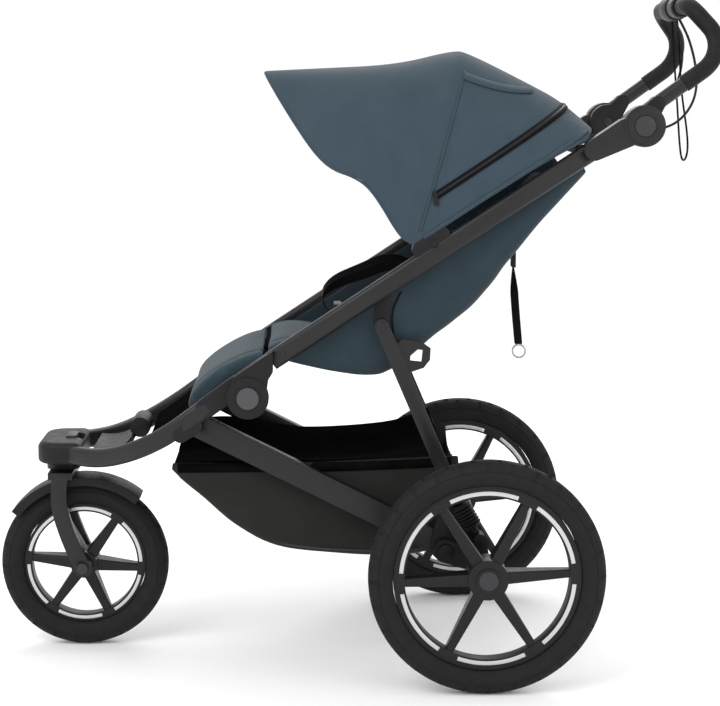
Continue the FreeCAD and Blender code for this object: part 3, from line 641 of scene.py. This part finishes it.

# %% [markdown]
# ## The seat sling
# The seat is a hammock of the same cloth, made darker in colour as painted shade. It hangs from the rails, dips
# under the child and runs up behind the back, so its rows start and end on the rails and sag between them. The
# cloth is looser low down at the back, where it shows long slanting folds.

# %% Sling sheet
ACROSS = [(1, 0), (1, 0.3), (0.995, 0.6), (0.96, 0.88), (0.86, 0.99), (0.5, 1), (0, 1)]
SLING = [(-112, 545), (-60, 531), (-15, 522), (28, 517), (64, 523), (128, 576), (173, 611),
         (218, 651), (257, 705), (328, 790), (399, 869)]
RAIL_FROM, RAIL_TO = Vector((0, -140, 551.6)), Vector((0, 415, 915.7))
RAIL_WAY = (RAIL_TO - RAIL_FROM).normalized()
sling_rows = []
for i, (low_y, low_z) in enumerate(SLING):
    low = Vector((0, low_y, low_z))
    top = RAIL_FROM + RAIL_WAY * max((low - RAIL_FROM).dot(RAIL_WAY), 38 + 14 * i)
    sling_rows.append(mirrored([(188 * x, top.y + (low_y - top.y) * s, top.z + (low_z - top.z) * s)
                                for x, s in ACROSS]))
# the sling's cloth carries painted shade, darker than the same fabric on the canopy
sling = bent_grid("seat_sling_sheet", seat_cloth_painted_shade, over_rows(sling_rows), 72, 64, (0.75, 0.75))


def sling_slack(p):
    rail_z = 0.5516 + (p.y + 0.14) * 0.656
    return min(1.0, max(0.0, (rail_z - p.z - 0.02) * 12)) * min(1.0, max(0.15, p.y * 6 + 0.3))


crease(sling, 0.0042, (3.0, 14.0, -9.0), 5.0, sling_slack)
settle(sling, "upper_frame", ["seat_sling"])
sling_tree = tree_of(sling)
SLING_PIPING = [(0.082, 0.668), (0.071, 0.648), (0.066, 0.630), (0.067, 0.605), (0.073, 0.578),
                (0.078, 0.560)]
for side, tail in ((1, "left"), (-1, "right")):
    line = [lie_on(sling_tree, y, z, side, 0.002) for y, z in SLING_PIPING]
    trim("sling_piping_" + tail, [p for p in line if p], 0.0014, webbing, "upper_frame")
print("sling cloth", round(flat_area(sling), 3), "square metres")

# %% [markdown]
# ## Padded pieces
# Pads swell, so each is started a little thin. A block bent along the seat is remeshed into
# even cells, blown up by the cloth solver with a small pressure, and held to a few
# millimetres of movement. The solver pulls the sides in and crowns the faces, which no
# modifier does as well. Seams are pressed in afterwards, because the remesh would lose them.

# %% Pad tools
def bent_block(name, material, shape, cuts):
    """A block cut evenly along its three ways that shape(u, v, w) bends into place."""
    bm = bmesh.new()
    bmesh.ops.create_cube(bm, size=1.0)
    for axis, count in enumerate(cuts):
        for k in range(1, count):
            plane = Vector((0, 0, 0))
            plane[axis] = k / count - 0.5
            normal = Vector((0, 0, 0))
            normal[axis] = 1
            bmesh.ops.bisect_plane(bm, geom=bm.verts[:] + bm.edges[:] + bm.faces[:],
                                   plane_co=plane, plane_no=normal)
    for vert in bm.verts:
        vert.co = shape(vert.co.x + 0.5, vert.co.y + 0.5, vert.co.z + 0.5)
    bmesh.ops.recalc_face_normals(bm, faces=bm.faces)
    return object_from(bm, name, material, 180)


def take_result(piece):
    """Keeps the modifiers' result as the mesh, with no modifier left."""
    mesh = bpy.data.meshes.new_from_object(piece.evaluated_get(bpy.context.evaluated_depsgraph_get()))
    piece.modifiers.clear()
    piece.data = mesh


def swell(piece, cap, voxel=0.0055, pressure=4.0):
    """Blows a block up into a soft pad; no point moves further than cap."""
    add_modifier(piece, "REMESH", mode="VOXEL", voxel_size=voxel, use_smooth_shade=True)
    take_result(piece)
    rest = [v.co.copy() for v in piece.data.vertices]
    cloth = piece.modifiers.new("Cloth", "CLOTH")
    cloth.settings.use_pressure = True
    cloth.settings.uniform_pressure_force = pressure
    cloth.settings.effector_weights.gravity = 0
    cloth.settings.quality = 4
    for number in range(1, 21):
        bpy.context.scene.frame_set(number)
    take_result(piece)
    bpy.context.scene.frame_set(1)
    for vert, start in zip(piece.data.vertices, rest):
        step = vert.co - start
        if step.length > cap:
            vert.co = start + step * (cap / step.length)
    piece.data.shade_smooth()
    return piece


def press_seam(piece, near, depth=0.003, reach=0.007):
    """Sews a channel: near(p) is how far a point lies from the stitching."""
    for vert in piece.data.vertices:
        d = near(vert.co)
        if d < reach:
            vert.co = vert.co - vert.normal * depth * (1 - d / reach) ** 2
    return piece


def along(line, u, thick, w, x):
    """A place u along a line of (y, z), w through a pad of that thickness, at x."""
    path = [Vector((0, y, z)) for y, z in line]
    place = glance(path, u)
    ahead = (glance(path, min(u + 0.01, 1)) - glance(path, max(u - 0.01, 0))).normalized()
    place = place + Vector((0, -ahead.z, ahead.y)) * (w - 0.5) * thick
    return Vector((x, place.y, place.z)) / 1000


# %% Seat pad, back pad and calf pad
SEAT = [(-148, 561), (-124, 568), (-96, 568), (-60, 562), (-10, 551), (38, 543), (60, 546)]
BACK = [(90, 573), (114, 594), (159, 629), (203, 669), (241, 720), (305, 797), (360, 860)]
CALF_TOP = [(-285, 464), (-281, 489), (-258, 513), (-229, 533), (-203, 547), (-176, 558), (-151, 563)]
CALF_LOW = [(-264, 458), (-254, 474), (-238, 488), (-222, 502), (-200, 517), (-176, 529), (-154, 534)]


def seat_shape(u, v, w):
    thick = 17 + 16 * max(0, 1 - 5 * u)
    place = along(SEAT, u, thick, w, (v - 0.5) * 2 * 161)
    return place - Vector((0, 0, 0.5 * (thick - 17) / 1000 + 0.004 * (2 * abs(v - 0.5)) ** 4))


def back_shape(u, v, w):
    wide = 155 - 10 * max(0, u - 0.7) / 0.3
    return along(BACK, u, 15, w, (v - 0.5) * 2 * wide)


def calf_shape(u, v, w):
    high = glance([Vector((0, y, z)) for y, z in CALF_TOP], u)
    low = glance([Vector((0, y, z)) for y, z in CALF_LOW], u)
    side = (2 * abs(v - 0.5)) ** 6
    deep = low.lerp(high, 0.55 * (1 - side))
    place = deep.lerp(high - Vector((0, 0, 7 * side)), w)
    return Vector(((v - 0.5) * 2 * 167, place.y, place.z)) / 1000


seat_pad = swell(bent_block("seat_pad", pad_cloth, seat_shape, (22, 26, 3)), 0.006)
back_pad = swell(bent_block("back_pad", pad_cloth, back_shape, (30, 26, 3)), 0.006)
calf_pad = swell(bent_block("calf_pad", pad_cloth, calf_shape, (18, 28, 4)), 0.005)
press_seam(seat_pad, lambda p: min(abs(abs(p.x) - 0.118), abs(p.y + 0.062) if abs(p.x) < 0.118 else 1))
press_seam(back_pad, lambda p: min(abs(abs(p.x) - 0.105), abs(p.y - 0.205) if abs(p.x) < 0.105 else 1))
press_seam(calf_pad, lambda p: abs(abs(p.x) - 0.140))
for pad, body, node, fill in ((seat_pad, "upper_frame", "seat_cushion", 0.6),
                              (back_pad, "backrest", "back_cushion", 0.6),
                              (calf_pad, "front_frame", "calf_rest", 0.5)):
    add_modifier(pad, "SUBSURF", levels=1, render_levels=1)
    settle(pad, body, [node])
    print(pad.name, len(pad.data.polygons), "faces")

# %% [markdown]
# ## Footwell and basket
# Between calf pad and footrest hangs a short tray of cloth. Below the seat is the basket, a
# soft shell that sags between its four upper corners, with a glossy black lid and front.

# %% Footwell sheet
footwell_rows = []
for y, z in ((-362, 398), (-340, 412), (-314, 431), (-288, 451)):
    footwell_rows.append([Vector((148 * x, y, z + (3 if abs(x) == 1 else -6 * (1 - abs(x)))))
                          for x in (-1, -0.7, -0.35, 0, 0.35, 0.7, 1)])
footwell = bent_grid("footwell_sheet", cover_cloth, over_rows(footwell_rows), 14, 40, (0.09, 0.30))
settle(footwell, "front_frame", ["footwell"])
print("footwell cloth", round(flat_area(footwell), 4), "square metres")

# %% Basket shell
BASKET = [(-316, 352), (-302, 334), (-266, 303), (-214, 251), (-144, 208), (-75, 194), (30, 187),
          (118, 189), (158, 205), (174, 245), (182, 290), (186, 340)]
BASKET_ACROSS = [(1, 0), (1, 0.3), (0.995, 0.6), (0.96, 0.86), (0.86, 0.98), (0.5, 1), (0, 1)]
basket_rows = []
for i, (low_y, low_z) in enumerate(BASKET):
    rim_y, rim_z = -314 + 498 * i / 11, 366 + max(0, i - 5) * 1.8
    basket_rows.append(mirrored([(157 * x, rim_y + (low_y - rim_y) * min(1, 1.25 * s),
                                  rim_z + (low_z - rim_z) * s) for x, s in BASKET_ACROSS]))
basket_shape = over_rows(basket_rows)
basket = bent_grid("basket_shell", basket_cloth, basket_shape, 64, 64, (0.60, 0.56), solid=0.002)
crease(basket, 0.0026, (4.0, 6.0, 11.0), 9.0, lambda p: min(1.0, max(0.0, (0.345 - p.z) * 14)))
settle(basket, "chassis", ["basket"])
basket_tree = tree_of(basket)
basket_trims = []
for side, tail in ((1, "left"), (-1, "right")):
    rim = band_on("basket_hem_" + tail, basket_tree,
                  [(-0.305, 0.357), (-0.10, 0.357), (0.06, 0.360), (0.172, 0.366)], 0.016, side,
                  cover_cloth)
    basket_trims.append(settle(rim, "chassis"))
    lower = [basket_shape(u / 22, 0.5 - side * 0.235) for u in range(1, 22)]
    piping = trim("basket_piping_" + tail, lower, 0.0018, button_grey, "chassis")
    basket_trims.append(piping)
for piece in [basket] + basket_trims:
    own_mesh(piece)
print("basket cloth", round(flat_area(basket), 3), "square metres")

# %% Basket lid
LID = [(-304, 369, 390), (-262, 369, 399), (-212, 369, 399), (-164, 369, 391), (-126, 369, 378),
       (-80, 369, 373), (-10, 371, 376), (50, 375, 381), (88, 377, 388), (118, 379, 400), (148, 381, 415)]
LID_ACROSS = [(1, 0), (0.995, 0.5), (0.97, 0.9), (0.6, 1), (0, 0.9)]
lid_rows = [mirrored([(157 * x, y, low + (peak - low) * s) for x, s in LID_ACROSS])
            for y, low, peak in LID]
lid = bent_grid("basket_lid", cover_cloth, over_rows(lid_rows), 48, 40, (0.46, 0.32), solid=0.0016)
crease(lid, 0.0020, (7.0, 16.0, 3.0), 2.0, lambda p: min(1.0, (0.157 - abs(p.x)) * 30))
settle(lid, "chassis", ["basket_cover"])
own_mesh(lid)
print("basket lid", round(flat_area(lid), 3), "square metres")

# %% [markdown]
# ## Webbing
# Straps are flat and do not puff, so each is a narrow grid bent along a line, with its UV
# map in metres for the ribs of the weave.

# %% Straps
def strap_band(name, line, x_middle, width, thick, body, node=None, material=webbing):
    """A flat strap along a line of (y, z) at x_middle, in millimetres."""
    def shape(u, v):
        return along(line, u, 0, 0.5, x_middle + (v - 0.5) * width)
    long = sum(math.dist(a, b) for a, b in zip(line, line[1:])) / 1000
    piece = bent_grid(name, material, shape, 30, 4, (long, width / 1000), solid=thick / 1000, levels=1)
    return settle(piece, body, [node] if node else ())


BELT_X = 70
SHOULDER_WEB = [(118, 622), (160, 656), (186, 682), (221, 729), (262, 777)]
SHOULDER = [(124, 623), (160, 651), (190, 680), (224, 725), (262, 772)]
LAP = [(-20, 574), (10, 567), (40, 566), (66, 573)]
for side, tail in ((1, "left"), (-1, "right")):
    strap_band("shoulder_pad_" + tail, SHOULDER, side * BELT_X, 43, 6.0, "backrest",
               "shoulder_belts", cover_cloth)
    strap_band("shoulder_web_" + tail, SHOULDER_WEB, side * BELT_X, 24, 1.6, "backrest")
    strap_band("lap_belt_" + tail, LAP, side * 137.5, 25, 2.4, "upper_frame", "lap_belts")
print("four shoulder straps and two lap belts")

# %% [markdown]
# ## Recline strap and its ring
# The recline strap hangs behind the seat, and turns along its length until its face looks
# sideways. The ring is a small circle turned once round, in the same plane as the strap.

# %% Recline strap and ring
STRAP_TURN = math.radians(72)
RECLINE = [Vector((75, y, z)) for y, z in ((285, 701), (287, 660), (291, 610), (296, 561))]


def recline_shape(u, v):
    place = glance(RECLINE, u)
    turn = STRAP_TURN * min(1, 3 * u)
    return (place + Vector((math.cos(turn), math.sin(turn), 0)) * (v - 0.5) * 15) / 1000


recline_web = bent_grid("recline_web", webbing, recline_shape, 40, 4, (0.14, 0.015), solid=0.0018)
settle(recline_web, "recline_strap", ["recline_strap"])
RING_R, RING_WIRE, RING_MIDDLE = 0.0115, 0.0018, (0.075, 0.297, 0.549)
flat_to_upright = Matrix.Rotation(math.radians(90), 3, "X")
bm = bmesh.new()
bmesh.ops.create_circle(bm, segments=12, radius=RING_WIRE)
bmesh.ops.rotate(bm, verts=bm.verts, cent=(0, 0, 0), matrix=flat_to_upright)
bmesh.ops.translate(bm, verts=bm.verts, vec=(RING_R, 0, 0))
bmesh.ops.spin(bm, geom=bm.verts[:] + bm.edges[:], cent=(0, 0, 0), axis=(0, 0, 1),
               angle=math.tau, steps=40, use_merge=True)
bmesh.ops.rotate(bm, verts=bm.verts, cent=(0, 0, 0), matrix=flat_to_upright)
bmesh.ops.rotate(bm, verts=bm.verts, cent=(0, 0, 0), matrix=Matrix.Rotation(STRAP_TURN, 3, "Z"))
bmesh.ops.translate(bm, verts=bm.verts, vec=RING_MIDDLE)
bmesh.ops.remove_doubles(bm, verts=bm.verts, dist=0.00001)
bmesh.ops.recalc_face_normals(bm, faces=bm.faces)
settle(object_from(bm, "pull_ring", steel), "recline_strap", ["strap_ring"])
print("recline strap and ring")

# %% [markdown]
# ## Harness
# Two loose straps rise from the buckle and fall back to the shoulder pads.

# %% Harness loops and buckle
def free_strap(name, points, width, lean):
    """A loose flat strap through millimetre points, its face leaning by an angle in degrees."""
    path = [Vector(p) for p in points]

    def shape(u, v):
        ahead = (glance(path, min(u + 0.01, 1)) - glance(path, max(u - 0.01, 0))).normalized()
        up = ahead.cross(Vector((1, 0, 0))).normalized()
        turn = math.radians(lean) * math.sin(math.pi * min(1, 1.2 * u)) ** 0.5
        off = Vector((1, 0, 0)) * math.cos(turn) + up * math.sin(turn)
        return (glance(path, u) + off * (v - 0.5) * width) / 1000

    return bent_grid(name, webbing, shape, 40, 4, (0.25, width / 1000), solid=0.0018, levels=1)


HARNESS = [(70, 150, 652), (68, 116, 694), (60, 66, 704), (50, 20, 684), (38, -36, 664),
           (26, -58, 632), (20, -38, 612)]
for side, tail in ((1, "left"), (-1, "right")):
    line = [(x * side, y, z) for x, y, z in HARNESS]
    loop = free_strap("harness_loop_" + tail, line, 24, 58 * side)
    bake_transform(loop)
soften("buckle", 0.0012)
soften("buckle_button", 0.0006)
soften("strap_slider", 0.0008)
print("harness loops and buckle")

# %% [markdown]
# ## Studio
# A pale floor that fades into a white room, one broad soft light high on the left and a
# weaker one on the right keep the dark plastic readable without hard shadows.

# %% Floor and lights
floor_mesh = bmesh.new()
bmesh.ops.create_grid(floor_mesh, x_segments=1, y_segments=1, size=30.0)
floor_finish, nodes, links, principled = shader("studio_floor")
principled.inputs["Base Color"].default_value = (1.0, 1.0, 1.0, 1.0)
principled.inputs["Roughness"].default_value = 1.0
principled.inputs["Specular IOR Level"].default_value = 0.0
floor = object_from(floor_mesh, "studio_floor", floor_finish)
floor.location.z = -0.0005
floor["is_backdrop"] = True

world = bpy.data.worlds.new("studio")
world.use_nodes = True
world.node_tree.nodes["Background"].inputs["Color"].default_value = (1.0, 1.0, 1.0, 1.0)
world.node_tree.nodes["Background"].inputs["Strength"].default_value = 1.04
bpy.context.scene.world = world
bpy.context.scene.view_settings.view_transform = "Standard"
for name, place, power, size in (
    ("key_light", (2.6, -2.2, 3.4), 62.0, 2.4),
    ("fill_light", (2.8, 2.6, 1.8), 18.0, 2.0),
    ("back_light", (-3.0, 0.4, 3.0), 45.0, 2.5),
):
    lamp = bpy.data.lights.new(name, "AREA")
    lamp.energy, lamp.size = power, size
    lamp_object = bpy.data.objects.new(name, lamp)
    lamp_object.location = place
    lamp_object.rotation_mode = "QUATERNION"
    lamp_object.rotation_quaternion = (Vector((0, 0, 0.55)) - Vector(place)).to_track_quat("-Z", "Y")
    bpy.context.scene.collection.objects.link(lamp_object)

# %% [markdown]
# ## The finished box
# The finished model is meant to fill the same box as the CAD one; its box is printed.

# %% Sizes
low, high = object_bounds()
print("visual box", [round(v, 3) for v in (*low, *high)])
